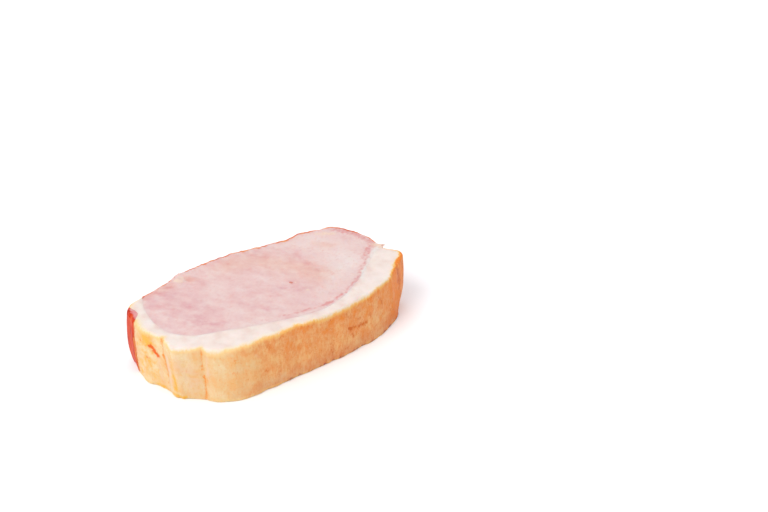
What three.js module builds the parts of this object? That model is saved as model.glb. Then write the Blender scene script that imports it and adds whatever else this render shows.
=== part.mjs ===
// A thick slice of boneless smoked pork loin with its rind, lying on one of its two cut faces.
//
// The slice is cut square across the loin, so every layer of the meat runs straight up through it:
//   loin_eye    the large oval muscle, its trimmed and smoked side at the back (+Y)
//   fat_cap     the back fat that wraps the front and both ends, with the rind as its outer face
//   side_strip  a thin strip of another muscle, let into the fat at the left end (-X)
//
// Each layer is a box whose six faces are bent to shape. One of its edges runs along the layer from
// the left end to the right, one across it from its outer line to its inner line, and one upwards.
// Millimetres, +Z up. The origin is under the middle of the slice, on the face that it lies on.

import * as THREE from "three";

// ---- Driving dimensions ----

const LENGTH = 133; // left end to right end
const WIDTH = 78; // front of the rind to the back of the eye
const THICKNESS = 28; // of the cut

const GAP = 0.3; // between neighbouring layers
const RIND_EDGE = 1.5; // radius of the rind's cut edges
const BACK_EDGE = 1.6; // radius of the smoked back's cut edges
const SEAM_EDGE = 0.3; // radius where two layers meet

// ---- The lines that the knife shows, seen from above ----
// Each point is a share of the length from the middle, then a share of the width.

// The rind halfway up, from the back of the left end, round the front, to the back of the right end.
const RIND_LINE = line([
  [-0.44, 0.163],
  [-0.478, 0.137],
  [-0.498, 0.086],
  [-0.497, -0.012],
  [-0.474, -0.113],
  [-0.426, -0.238],
  [-0.399, -0.353],
  [-0.318, -0.414],
  [-0.249, -0.485],
  [-0.183, -0.491],
  [0.001, -0.413],
  [0.213, -0.315],
  [0.364, -0.189],
  [0.455, -0.045],
  [0.498, 0.058],
  [0.494, 0.103],
  [0.451, 0.153],
]);

// Where the fat meets the eye, from left to right.
const SEAM_LINE = line([
  [-0.424, 0.176],
  [-0.433, 0.069],
  [-0.421, -0.096],
  [-0.381, -0.22],
  [-0.318, -0.284],
  [-0.225, -0.304],
  [0.077, -0.316],
  [0.182, -0.263],
  [0.294, -0.1],
  [0.4, 0.127],
  [0.427, 0.171],
]);

// The trimmed and smoked back of the eye, from left to right.
const BACK_LINE = line([
  [-0.419, 0.186],
  [-0.338, 0.259],
  [-0.291, 0.317],
  [-0.085, 0.42],
  [0.132, 0.453],
  [0.153, 0.462],
  [0.182, 0.489],
  [0.263, 0.49],
  [0.326, 0.484],
  [0.415, 0.305],
  [0.436, 0.206],
]);

// ---- Relief ----
// Places along the rind are millimetres along its line from the left.

// Creases in the rind: where each crosses the upper cut face and the lower one, how deep it is
// and half its width.
const CREASES = [
  { above: 39.5, below: 42.1, depth: 1.1, half: 1.1 },
  { above: 43.9, below: 48.9, depth: 0.7, half: 1.1 },
  { above: 60.1, below: 61.4, depth: 1, half: 0.9 },
  { above: 165.5, below: 169, depth: 0.6, half: 1.4 },
];
const CREASE_REACH = 5; // how far off a leaning crease still turns the grain of the rind with it

// Where the rind isn't upright: how far it stands out (or in, below nought) at its foot and at its
// upper rim, the share of the height where it is on its line, and how far along this reaches.
const LEANS = [
  { at: 14, reach: 10, belly: 0.5, foot: -2.2, rim: -1.7 },
  { at: 82, reach: 26, belly: 0.5, foot: 0.5, rim: -0.5 },
  { at: 181, reach: 11, belly: 0.78, foot: -3.2, rim: -0.7 },
];

// Fine upright flutes of the rind.
const FLUTES = [
  { length: 17.3, depth: 0.16, phase: 0.9 },
  { length: 9.1, depth: 0.1, phase: 3.3 },
];

// The lean strip that is let into the fat, along the rind: a long lens with blunt tips. Its bed
// has a short shoulder past each tip.
const STRIP = { from: 8, to: 20.5, depth: 3.4, tip: 0.5, bluntness: 0.7 };
const BED_SHOULDER = 0.8;

// Folds of the smoked back, which run the way of the loin and so stand upright here.
const FOLDS = [
  { length: 23, height: 0.35, phase: 0.4 },
  { length: 12.7, height: 0.3, phase: 2.1 },
  { length: 7.4, height: 0.2, phase: 4 },
];
const FOLD_DRIFT = 0.5; // how far a fold wanders sideways on its way up, in radians of its wave
const FOLD_FADE = 8; // the folds fade out over this length at the two ends of the back

// The knife's long, low waves in the upper cut face.
const CUT_WAVES = { height: 0.25, length: 74, across: 58, phaseX: 0.6, phaseY: -0.4 };
const EYE_DOME = 0.5; // the eye stands a little prouder than the fat

// Small things that stand up from the cut face: a nub of fat in the eye's back edge, and the
// ragged tip of membrane where eye and fat part at the right.
const NUB = { x: -36.4, y: 21, radius: 2.4, height: 0.7 };
const RAGGED_TIP = { x: 57.2, y: 15, radius: 2.2, height: 0.8 };

// ---- Fineness of the facets ----

const RIND_STEP = 2.4; // along the rind
const CREASE_STEPS = [-1.7, -0.8, 0, 0.8, 1.7]; // across a crease, in halves of its width
const STRIP_STEPS = [0, 0.12, 0.3, 0.5, 0.7, 0.88, 1]; // along the strip, in shares of its length
const EYE_STATIONS = 72; // along the eye
const EYE_ROWS = 7; // across the eye

// ---- Small helpers ----

function line(shares) {
  const points = shares.map(
    ([x, y]) => new THREE.Vector3(x * LENGTH, y * WIDTH, 0),
  );
  const curve = new THREE.CatmullRomCurve3(points, false, "centripetal");
  curve.arcLengthDivisions = 600;
  return curve;
}

const clamp01 = (t) => Math.min(1, Math.max(0, t));
const smooth = (t) => clamp01(t) ** 2 * (3 - 2 * clamp01(t));
const bell = (t) => Math.exp(-t * t);
const total = (list, amount) => list.reduce((sum, item) => sum + amount(item), 0);
const evenly = (n) => Array.from({ length: n + 1 }, (_, i) => i / n);

// A point at a distance along a line, moved sideways towards the left of the direction of travel.
function beside(curve, distance, sideways) {
  const u = clamp01(distance / curve.getLength());
  const point = curve.getPointAt(u);
  const along = curve.getTangentAt(u);
  point.x -= along.y * sideways;
  point.y += along.x * sideways;
  return point;
}

// Height of the upper cut face over a place on the board.
function cutHeight(x, y) {
  const { height, length, across, phaseX, phaseY } = CUT_WAVES;
  const waves =
    height *
    Math.sin((2 * Math.PI * x) / length + phaseX) *
    Math.cos((2 * Math.PI * y) / across + phaseY);
  const bumps = total(
    [NUB, RAGGED_TIP],
    (bump) => bump.height * bell(Math.hypot(x - bump.x, y - bump.y) / bump.radius),
  );
  return THICKNESS + waves + bumps;
}

// ---- Bending a box into a layer ----

// A place between two faces with rounded edges: a share of the way from the end of one rounding to
// the start of the other, and then some radii back into the first one or on into the second.
const at = (share, radii = 0) => ({ share, radii });

function between({ share, radii }, width, firstRadius, secondRadius) {
  const radius = share < 0.5 ? firstRadius : secondRadius;
  return THREE.MathUtils.lerp(firstRadius, width - secondRadius, share) + radii * radius;
}

// Rounds an edge. A point on one of the edge's two faces lies some way from the other face; within
// one radius of the edge it swings onto a quarter circle. Takes and returns both distances.
function rounded(fromOne, fromOther, radius) {
  const onFace = Math.min(fromOne, fromOther) < 1e-6;
  if (!onFace || Math.max(fromOne, fromOther) >= radius)
    return [fromOne, fromOther];
  const angle = (Math.PI / 4) * (1 - (fromOne - fromOther) / radius);
  return [radius * (1 - Math.sin(angle)), radius * (1 - Math.cos(angle))];
}

// A point of a layer, given the places on its outer and inner lines, how far across and how far up
// it is, the radii of the layer's outer and inner edges, and how high its upper face is domed.
function layerPoint(outer, inner, across, up, edges, dome = 0) {
  const inwards = inner.clone().sub(outer);
  const width = inwards.length();
  inwards.normalize();

  const outerRadius = Math.min(edges.outer, width / 3);
  const innerRadius = Math.min(edges.inner, width / 3);
  let depth = between(across, width, outerRadius, innerRadius);

  const foot = outer.clone().addScaledVector(inwards, depth);
  const share = depth / width;
  const top = cutHeight(foot.x, foot.y) + dome * 4 * share * (1 - share);
  const reach = Math.max(edges.outer, edges.inner);
  let z = between(up, top, reach, reach);

  const nearOuter = across.share < 0.5;
  const nearFoot = up.share < 0.5;
  const [fromSide, fromCut] = rounded(
    nearOuter ? depth : width - depth,
    nearFoot ? z : top - z,
    nearOuter ? outerRadius : innerRadius,
  );
  depth = nearOuter ? fromSide : width - fromSide;
  z = nearFoot ? fromCut : top - fromCut;
  const point = outer.clone().addScaledVector(inwards, depth);
  return [point.x, point.y, z];
}

// Steps upwards, from the lower cut face to the upper one, that every layer shares.
const UP = [at(0, -1), at(0, -0.5), at(0), at(0.34), at(0.67), at(1), at(1, 0.5), at(1, 1)];

// The share of the height that a step stands for, for relief that changes on the way up.
const heightShare = (up, radius) => between(up, THICKNESS, radius, radius) / THICKNESS;

// The closed surface of a box with a grid on each face, every grid point moved by place(u, v, w).
function bentBox(us, vs, ws, place) {
  const positions = [];
  const index = [];
  const known = new Map();
  const vertex = (i, j, k) => {
    const key = (i * vs.length + j) * ws.length + k;
    if (!known.has(key)) {
      known.set(key, positions.length / 3);
      positions.push(...place(us[i], vs[j], ws[k]));
    }
    return known.get(key);
  };
  // One face and the one opposite it: corner(a, b, far) is a grid point of either.
  const facePair = (na, nb, corner) => {
    for (const far of [false, true])
      for (let a = 0; a < na; a++)
        for (let b = 0; b < nb; b++) {
          const p = corner(a, b, far);
          const q = corner(a + 1, b, far);
          const r = corner(a + 1, b + 1, far);
          const s = corner(a, b + 1, far);
          if (far) index.push(p, q, r, p, r, s);
          else index.push(p, r, q, p, s, r);
        }
  };
  const [nu, nv, nw] = [us.length - 1, vs.length - 1, ws.length - 1];
  facePair(nu, nv, (a, b, far) => vertex(a, b, far ? nw : 0));
  facePair(nv, nw, (a, b, far) => vertex(far ? nu : 0, a, b));
  facePair(nw, nu, (a, b, far) => vertex(b, far ? nv : 0, a));
  const geometry = new THREE.BufferGeometry();
  geometry.setAttribute(
    "position",
    new THREE.Float32BufferAttribute(positions, 3),
  );
  geometry.setIndex(index);
  geometry.computeVertexNormals();
  return geometry;
}

// ---- The fat cap ----

const middleOf = (crease) => (crease.above + crease.below) / 2;

// Turns the upright grain of the rind with the creases that lean: where a grain line that starts
// at a distance along the rind has got to at a share of the height.
function leaning(distance, w) {
  return (
    distance +
    total(
      CREASES,
      (crease) =>
        (crease.below - crease.above) *
        (0.5 - w) *
        bell((distance - middleOf(crease)) / CREASE_REACH),
    )
  );
}

// How far the rind lies inside its line.
function rindDepth(distance, w) {
  const creases = total(
    CREASES,
    (crease) => crease.depth * bell((distance - middleOf(crease)) / crease.half),
  );
  const flutes = total(
    FLUTES,
    (flute) => flute.depth * Math.sin((2 * Math.PI * distance) / flute.length + flute.phase),
  );
  const lean = total(LEANS, (place) => {
    const below = clamp01(1 - w / place.belly);
    const above = clamp01((w - place.belly) / (1 - place.belly));
    const out = place.foot * below ** 2 + place.rim * above ** 2;
    return out * bell((distance - place.at) / place.reach);
  });
  return creases + flutes - lean;
}

// Thickness of the side strip at a place along the rind.
function stripThickness(distance) {
  const t = clamp01((distance - STRIP.from) / (STRIP.to - STRIP.from));
  const lens = Math.sin(Math.PI * t) ** STRIP.bluntness;
  return THREE.MathUtils.lerp(STRIP.tip, STRIP.depth, lens);
}

// Depth of the strip's bed in the fat.
function stripBed(distance) {
  const inside =
    smooth((distance - STRIP.from + GAP + BED_SHOULDER) / BED_SHOULDER) *
    smooth((STRIP.to + GAP + BED_SHOULDER - distance) / BED_SHOULDER);
  return inside * (stripThickness(distance) + GAP);
}

const stripStations = STRIP_STEPS.map((t) => THREE.MathUtils.lerp(STRIP.from, STRIP.to, t));

// Places along the rind: even steps, but closer together at each crease and at the strip.
function rindStations() {
  const creases = CREASES.flatMap((crease) =>
    CREASE_STEPS.map((step) => middleOf(crease) + step * crease.half),
  );
  const bed = [
    STRIP.from - GAP - BED_SHOULDER,
    STRIP.from - GAP,
    ...stripStations,
    STRIP.to + GAP,
    STRIP.to + GAP + BED_SHOULDER,
  ];
  const marks = [...creases, ...bed];
  const length = RIND_LINE.getLength();
  const even = evenly(Math.round(length / RIND_STEP))
    .map((t) => t * length)
    .filter((d) => marks.every((mark) => Math.abs(mark - d) > RIND_STEP / 3));
  return [...even, ...marks].sort((a, b) => a - b);
}

function fatCap() {
  const seamPerRind = SEAM_LINE.getLength() / RIND_LINE.getLength();
  const edges = { outer: RIND_EDGE, inner: SEAM_EDGE };
  const place = (distance, across, up) => {
    const w = heightShare(up, RIND_EDGE);
    const depth = rindDepth(distance, w) + stripBed(distance);
    const outer = beside(RIND_LINE, leaning(distance, w), depth);
    const inner = beside(SEAM_LINE, distance * seamPerRind, -GAP / 2);
    return layerPoint(outer, inner, across, up, edges);
  };
  const across = [at(0, -1), at(0, -0.5), at(0), at(0.5), at(1), at(1, 1)];
  return bentBox(rindStations(), across, UP, place);
}

// ---- The eye ----

// How far the folds of the smoked back stand out. They drift a little on their way up and fade
// towards the two ends of the back.
function backFold(distance, w) {
  const folds = total(FOLDS, (fold) => {
    const drift = FOLD_DRIFT * Math.sin(Math.PI * w + fold.phase);
    return fold.height * Math.sin((2 * Math.PI * distance) / fold.length + fold.phase + drift);
  });
  const fromEnds = Math.min(distance, BACK_LINE.getLength() - distance);
  return folds * smooth(fromEnds / FOLD_FADE);
}

function loinEye() {
  const edges = { outer: SEAM_EDGE, inner: BACK_EDGE };
  const seamLength = SEAM_LINE.getLength();
  const backLength = BACK_LINE.getLength();
  const place = (u, across, up) => {
    const w = heightShare(up, BACK_EDGE);
    const fold = backFold(u * backLength, w);
    const outer = beside(SEAM_LINE, u * seamLength, GAP / 2);
    const inner = beside(BACK_LINE, u * backLength, fold);
    return layerPoint(outer, inner, across, up, edges, EYE_DOME);
  };
  const middle = evenly(EYE_ROWS).map((share) => at(share));
  const across = [at(0, -1), ...middle, at(1, 0.5), at(1, 1)];
  return bentBox(evenly(EYE_STATIONS), across, UP, place);
}

// ---- The side strip ----

function sideStrip() {
  const edges = { outer: RIND_EDGE, inner: SEAM_EDGE };
  const place = (distance, across, up) => {
    const depth = rindDepth(distance, heightShare(up, RIND_EDGE));
    const outer = beside(RIND_LINE, distance, depth);
    const inner = beside(RIND_LINE, distance, depth + stripThickness(distance));
    return layerPoint(outer, inner, across, up, edges);
  };
  return bentBox(stripStations, [at(0, -1), at(0), at(1, 1)], UP, place);
}

// ---- Putting the slice together ----

const FINISHES = {
  loin_eye: { color: 0xecc9c4, roughness: 0.45 },
  fat_cap: { color: 0xe9b983, roughness: 0.5 },
  side_strip: { color: 0xe06c52, roughness: 0.45 },
};

function layer(name, geometry) {
  const material = new THREE.MeshStandardMaterial({
    ...FINISHES[name],
    metalness: 0,
  });
  const mesh = new THREE.Mesh(geometry, material);
  mesh.name = name;
  return mesh;
}

const chop = new THREE.Group();
chop.name = "smoked_pork_chop";
chop.add(layer("loin_eye", loinEye()));
chop.add(layer("fat_cap", fatCap()));
chop.add(layer("side_strip", sideStrip()));

export default chop;
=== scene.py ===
"""A thick slice of boneless smoked pork loin with its rind, lying on one of its two cut faces.

The loin was cut square across, so every layer of the meat runs straight up through the slice: the
large lean eye, the back fat that wraps its front and both ends with the rind outside it, and a thin
strip of darker lean let into the fat at the left end. Each layer here is a closed skin of fine
facets in the place of its plain solid. Sizes are millimetres until a mesh is made.
"""

import itertools

import bpy
import numpy as np
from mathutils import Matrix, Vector


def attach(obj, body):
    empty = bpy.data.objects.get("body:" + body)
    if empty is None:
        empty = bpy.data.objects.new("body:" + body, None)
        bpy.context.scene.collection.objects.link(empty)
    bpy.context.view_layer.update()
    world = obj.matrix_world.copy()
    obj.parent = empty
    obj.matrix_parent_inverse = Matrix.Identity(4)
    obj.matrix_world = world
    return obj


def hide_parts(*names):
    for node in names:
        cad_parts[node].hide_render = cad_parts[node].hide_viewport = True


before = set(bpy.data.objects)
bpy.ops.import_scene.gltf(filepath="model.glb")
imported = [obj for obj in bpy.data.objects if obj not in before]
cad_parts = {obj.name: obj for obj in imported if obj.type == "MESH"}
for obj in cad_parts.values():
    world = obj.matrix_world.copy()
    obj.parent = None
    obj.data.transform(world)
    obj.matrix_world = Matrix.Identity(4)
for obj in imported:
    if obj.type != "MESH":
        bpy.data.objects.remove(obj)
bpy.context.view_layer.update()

# ---- The loin eye ----
# The long round muscle of the loin, cured pink. The knife left its two cut faces moist and faintly
# domed, with the bundles of the muscle cut across. Its trimmed back hung in the smoke, which dried
# it to an orange-red skin with upright folds. A thin dark streak follows its seam with the fat.

LENGTH = 133  # left end to right end
WIDTH = 78  # front of the rind to the back of the eye
THICKNESS = 28  # of the cut

SEAM_EDGE = 0.1  # radius where two layers meet
BACK_EDGE = 1  # radius of the smoked back's cut edges
FOOT_SHARE = 0.4  # an edge that the slice lies on is this much sharper than the one above it
OVERLAP = 0.03  # neighbouring layers reach this far into each other, so that no slit shows

# The knife's long, low waves in the upper cut face, and what stands up from it: a nub of fat in
# the eye's back edge, the ragged tip of membrane where eye and fat part at the right, and the
# corner of the back edge.
CUT_WAVES = {"height": 0.25, "length": 74, "across": 58, "phase_x": 0.6, "phase_y": -0.4}
CUT_BUMPS = [
    {"at": (-37.4, 24.4), "radius": 1.8, "height": 0.95},
    {"at": (-34.5, 24.6), "radius": 1.1, "height": 0.4},
    {"at": (-38, 20.6), "radius": 1.5, "height": 0.4},
    {"at": (58.2, 14.4), "radius": 2, "height": 0.35},
    {"at": (28.5, 38), "radius": 6, "height": 0.65},
]
EYE_DOME = {"height": 0.5, "narrow": 4, "full": 34}  # none where the eye is narrow, all where broad

# Unevenness, here and further on: how deep it is, how far apart its ups and downs are, and the seed
# that picks one pattern of them. These are the knife's in the upper cut face, and the shallow
# hollows of the lower one.
KNIFE_MARKS = [
    {"depth": 0.09, "grain": 6, "seed": 11},
    {"depth": 0.04, "grain": 2.3, "seed": 12},
]
FOOT_HOLLOWS = [
    {"depth": 0.15, "grain": 9, "seed": 21},
    {"depth": 0.06, "grain": 3, "seed": 22},
]

# The membrane's tip: how far it is drawn out of the eye's right end under the upper cut face, how
# much of the end it takes with it, how thick it is, how softly it ends below, and its teeth.
MEMBRANE = {"out": (2.1, -0.9, 0.1), "half": 0.9, "thickness": 1, "edge": 0.6}
MEMBRANE_TEETH = {"depth": 0.5, "grain": 0.7, "seed": 35}

# Folds of the smoked back, which drift sideways on their way up and fade out near its two ends. On
# them are upright wrinkles, coarse and fine, and hollows between knobs. The rim, from a share of
# the height upwards, is calmer, flares and is ragged.
FOLDS = [
    {"length": 23, "height": 0.35, "phase": 0.4},
    {"length": 12.7, "height": 0.3, "phase": 2.1},
    {"length": 7.4, "height": 0.2, "phase": 4},
]
FOLD_DRIFT = 0.5  # in radians of a fold's wave
FOLD_FADE = 8
BACK_WRINKLES = {"depth": 0.5, "grain": (3.6, 12, 1), "seed": 31}
BACK_LINES = {"depth": 0.14, "grain": (1.3, 3, 1), "seed": 32}
BACK_HOLLOWS = {"depth": 0.7, "grain": (7, 9, 1), "seed": 33}
BACK_RAGGED = {"depth": 0.5, "grain": 2.1, "seed": 34}
BACK_RIM = {"from": 5 / 6, "calmer": 0.7, "flare": 0.35}
RAGGED_FROM = 11 / 12

# The smoke's colour keeps clear of fat at the back's rim, by shares of the height, and of the
# membrane.
RIM_FAT = {"from": 0.93, "full": 0.98, "clear": 1.6}
MEMBRANE_CLEAR = 4


def soft(through, half, strength):
    """A mark: a soft line through some places, fading over `half` to both sides."""
    return {"through": through, "half": half, "strength": strength}


# Marks on the cut face: where the flesh is redder or (below nought) paler, where it has dried to
# beige, where a groove parts two bundles of muscle, and specks of fat and of blood. All are pushed
# about a little, so that none is straight.
WOBBLE = {"push": 0.5, "grain": 1.8, "seeds": (61, 62)}
REDDER = [
    soft([(-34, 19), (-29, 15.6)], 3.4, 0.3),
    soft([(-56, 13), (-43, 16)], 3, 0.7),
    soft([(-1, 32), (3, 26)], 2.8, 0.6),
    soft([(19.5, 25), (20.5, 13), (25, 3)], 1.7, 0.7),
    soft([(2.6, -2), (9, -5), (16.6, -6.6)], 1.9, 0.8),
    soft([(-42, -13), (-30, -18), (-22, -20)], 2.4, 0.7),
    soft([(-15.6, -6.7), (-9, -13), (-4, -20)], 1.5, 0.6),
    soft([(-52, 4), (-38, -8)], 12, 0.5),
    soft([(30, 27), (36, 22)], 2.6, 0.7),
    soft([(-23, 9), (-31, 1.6)], 4, -0.4),
    soft([(-22.5, -9.7), (-26, -21)], 3.2, -0.5),
    soft([(31, 26), (41, 8)], 10, -1.3),
    soft([(18, -12), (34, -3)], 6, -0.8),
]
DRIER = [
    soft([(-34, 20), (-32, 18)], 2.4, 1),
    soft([(-57, 13), (-43, 17)], 3.4, 1),
    soft([(-14, 24), (0, 24), (14, 12), (22, 2)], 8, 0.8),
    soft([(20.5, 13), (25, 3)], 2.4, 0.15),
    soft([(30, 27), (36, 22)], 3, 0.6),
    soft([(-47, 4), (-42, -14)], 11, -0.6),
    soft([(-22.5, -9.7), (-26, -21)], 3.2, -0.5),
]
GROOVES = [
    soft([(20, 24), (20.5, 13), (25, 3)], 0.9, 0.1),
    soft([(2.6, -2), (16.6, -6.6)], 0.9, 0.08),
    soft([(-15.6, -6.7), (-4, -20)], 0.8, 0.07),
    soft([(-37, 17.4), (-35.2, 18.4), (-34.2, 21)], 0.8, 0.25),
]
FAT_SPECKS = [
    soft([(-38.2, 21.8), (-35.8, 22.6)], 1.8, 0.6),
    soft([(-39.6, 20), (-37.3, 18.7)], 1, 1),
    soft([(-35.6, 21.4), (-35.6, 20)], 0.8, 0.6),
    soft([(37.4, 33.4), (40.6, 31.8)], 1.6, 1.05),
    soft([(33, 34.4), (36, 33.6)], 1.1, 0.7),
    soft([(55.6, 15.6), (62, 13)], 1.9, 1.1),
    soft([(14, -8), (14.8, -8.3)], 0.55, 0.9),
    soft([(10.6, -0.4), (11.2, -0.8)], 0.5, 0.8),
    soft([(-13.8, -3.2), (-12.4, -4.6)], 0.5, 0.7),
]
BLOOD_SPOTS = [
    soft([(8.7, 0.5), (9.5, -0.6)], 0.55, 1.1),
    soft([(-34.4, 18.9), (-33.9, 17.8)], 1.1, 0.5),
]

# The dark pink streak just inside the seam: thin at the front, and broad and beaded up at the
# right, where the eye's own fat shows white between it and the seam. The last is the broad pink
# band inside the back edge at the right.
STREAK = [
    soft([(-12, -22.6), (-3, -22.4)], 0.7, 0.35),
    soft([(-1, -22.4), (6, -22.2), (17, -21)], 0.8, 0.6),
    soft([(18, -20.8), (22.6, -19.4), (28, -16.6)], 1, 0.95),
    soft([(30, -15), (36.5, -9.2), (40.4, -5)], 0.9, 0.65),
    soft([(41.2, -3.4), (42.6, -0.8)], 1, 0.6),
    soft([(43.8, 0.8), (44.8, 2.4)], 1.2, 0.45),
    soft([(46, 4.2), (46.8, 5.4)], 1.3, 0.55),
    soft([(47.9, 7.4), (48.8, 8.8)], 1.5, 0.5),
    soft([(49.9, 10.6), (50.7, 12)], 1.8, 0.65),
    soft([(51.8, 14.4), (53, 15.2)], 1.8, 0.7),
    soft([(54, 15.4), (56.4, 15)], 0.8, 0.35),
    soft([(43, 35), (50, 27.6), (56, 19.4)], 2.1, 0.85),
]
OWN_FAT = [
    soft([(8, -24), (22, -22), (34, -13)], 1, 0.5),
    soft([(42, -5), (47.5, 1.6), (51.6, 7.4), (54, 11), (55.6, 12.6)], 2, 1),
]

EYE_STEPS = {"along": 290, "across": 84, "up": 44}
TURNING = 4  # steps on each face into a rounded edge
ON_FACE = 1e-6  # a point this near to a face of its layer lies on it
BUMP = 0.4  # height of the finest relief, which only the materials have


def line(shares, fineness=200):
    """A smooth line through points given as shares of the length and the width. Between two points
    it is a cubic in t: start + leave t + (3 chord - 2 leave - arrive) t^2 + (leave + arrive
    - 2 chord) t^3, where leave and arrive weigh the chords on both sides by the roots of their
    lengths. Returns the way gone at each of its points, the points and the unit tangents."""
    points = np.array(shares) * [LENGTH, WIDTH]
    points = np.vstack([2 * points[0] - points[1], points, 2 * points[-1] - points[-2]])
    t = np.linspace(0, 1, fineness, endpoint=False)[:, None]
    stretches = []
    for p, q, r, s in zip(points, points[1:], points[2:], points[3:]):
        before, chord, after = q - p, r - q, s - r
        a, b, c = (np.linalg.norm(v) ** 0.5 for v in (before, chord, after))
        leave = b * (before / a - (r - p) / (a + b)) + chord
        arrive = b * (after / c - (s - q) / (b + c)) + chord
        curve = q + leave * t + (3 * chord - 2 * leave - arrive) * t**2
        stretches.append(curve + (leave + arrive - 2 * chord) * t**3)
    path = np.vstack([*stretches, points[-2:-1]])
    steps = np.linalg.norm(np.diff(path, axis=0), axis=1)
    tangents = np.gradient(path, axis=0)
    tangents /= np.linalg.norm(tangents, axis=1)[:, None]
    return np.concatenate([[0], np.cumsum(steps)]), path, tangents


def beside(curve, distance, sideways):
    """Points at a distance along a line, moved by `sideways` to the left of the way it runs."""
    way, path, tangents = curve
    x, y = (np.interp(distance, way, path[:, axis]) for axis in (0, 1))
    along_x, along_y = (np.interp(distance, way, tangents[:, axis]) for axis in (0, 1))
    return np.stack([x - along_y * sideways, y + along_x * sideways], axis=-1)


def smooth(t):
    """Eases from nought to one as t does: 3 t^2 - 2 t^3, flat outside that."""
    t = np.clip(t, 0, 1)
    return t * t * (3 - 2 * t)


def rising(value, low, high):
    """Eases from nought to one as a value goes from low to high."""
    return smooth((value - low) / (high - low))


def bell(away, half):
    """A bell, exp(-(away / half)^2): one in the middle, 0.37 at `half`."""
    return np.exp(-((away / half) ** 2))


def noise(places, grain, seed):
    """Smooth random heights from -1 to 1: a random number at each corner of a lattice with cells of
    size `grain`, blended between a cell's corners with the ease curve on each axis."""
    table = np.random.default_rng(seed).uniform(-1, 1, (64, 64, 64))
    cells, shares = np.divmod(places / np.array(grain, float), 1)
    cells = cells.astype(int)
    shares = smooth(shares)
    height = np.zeros(len(places))
    for corner in itertools.product((0, 1), repeat=3):
        weight = np.prod(np.where(corner, shares, 1 - shares), axis=1)
        height += weight * table[tuple((cells + corner).T % 64)]
    return height


def rough(places, kind):
    """Unevenness of one kind: its depth times its noise."""
    return kind["depth"] * noise(places, kind["grain"], kind["seed"])


def dents(places, kind, swell=1, rare=0):
    """Separate dents of one kind: its depth times the ease of (swell times its noise, less rare)."""
    return kind["depth"] * smooth(swell * noise(places, kind["grain"], kind["seed"]) - rare)


def upon(x, y, z=0.0):
    """Places in space from separate coordinates, for the noise."""
    return np.stack(np.broadcast_arrays(x, y, z), axis=-1)


def marked(places, marks):
    """How strongly some soft lines mark each place: the sum of their strengths, each times a bell
    over the distance to the line, after the places are pushed about by noise."""
    lattice = upon(*places.T)
    push = [noise(lattice, WOBBLE["grain"], seed) for seed in WOBBLE["seeds"]]
    push = np.stack(push, axis=-1)
    total = np.zeros(len(places))
    for mark in marks:
        moved = places + push * min(WOBBLE["push"], mark["half"])
        away = np.full(len(places), np.inf)
        for start, end in itertools.pairwise(mark["through"]):
            run = np.subtract(end, start)
            along = np.clip((moved - start) @ run / (run @ run), 0, 1)
            away = np.minimum(away, np.linalg.norm(moved - start - along[:, None] * run, axis=1))
        total += mark["strength"] * bell(away, mark["half"])
    return total


def cut_height(x, y):
    """Height of the upper cut face: the thickness, one long wave each way multiplied together, a
    bell over each thing that stands up, and two grains of unevenness that the knife left."""
    waves = np.sin(2 * np.pi * x / CUT_WAVES["length"] + CUT_WAVES["phase_x"])
    waves = waves * np.cos(2 * np.pi * y / CUT_WAVES["across"] + CUT_WAVES["phase_y"])
    height = THICKNESS + CUT_WAVES["height"] * waves
    for bump in CUT_BUMPS:
        away = np.hypot(x - bump["at"][0], y - bump["at"][1])
        height = height + bump["height"] * bell(away, bump["radius"])
    for kind in KNIFE_MARKS:
        height = height + rough(upon(x, y), kind)
    return height


def foot_height(x, y):
    """Height of the lower cut face: it lies flat, with shallow hollows off the board."""
    return sum(dents(upon(x, y), kind) for kind in FOOT_HOLLOWS)


def steps(even, crowding=1):
    """Steps from one rounded edge to the next: first the share of the way between the two
    roundings, then how many radii into the near one (below nought) or into the far one. A
    crowding above one brings the steps closer together near the first edge."""
    into = np.linspace(0, 1, TURNING + 1)[1:]
    middle = np.linspace(0, 1, even + 1) ** crowding
    shares = np.concatenate([0 * into, middle, 0 * into + 1])
    radii = np.concatenate([-into[::-1], np.zeros(even + 1), into])
    return np.stack([shares, radii], axis=-1)


def between(step, width, first_radius, second_radius):
    """The distance that a step stands for, between two faces `width` apart."""
    share, radii = step.T
    radius = np.where(share < 0.5, first_radius, second_radius)
    return first_radius + share * (width - second_radius - first_radius) + radii * radius


def rounded(from_one, from_other, radius):
    """Rounds an edge. A point on one of the edge's two faces that is less than a radius from the
    other face swings onto a quarter circle, at the angle 45 degrees (1 - (from_one - from_other)
    / radius). Takes and returns its distances from the two faces."""
    turning = np.minimum(from_one, from_other) < ON_FACE
    turning = turning & (np.maximum(from_one, from_other) < radius)
    angle = np.pi / 4 * (1 - (from_one - from_other) / radius)
    one = np.where(turning, radius * (1 - np.sin(angle)), from_one)
    other = np.where(turning, radius * (1 - np.cos(angle)), from_other)
    return one, other


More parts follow.
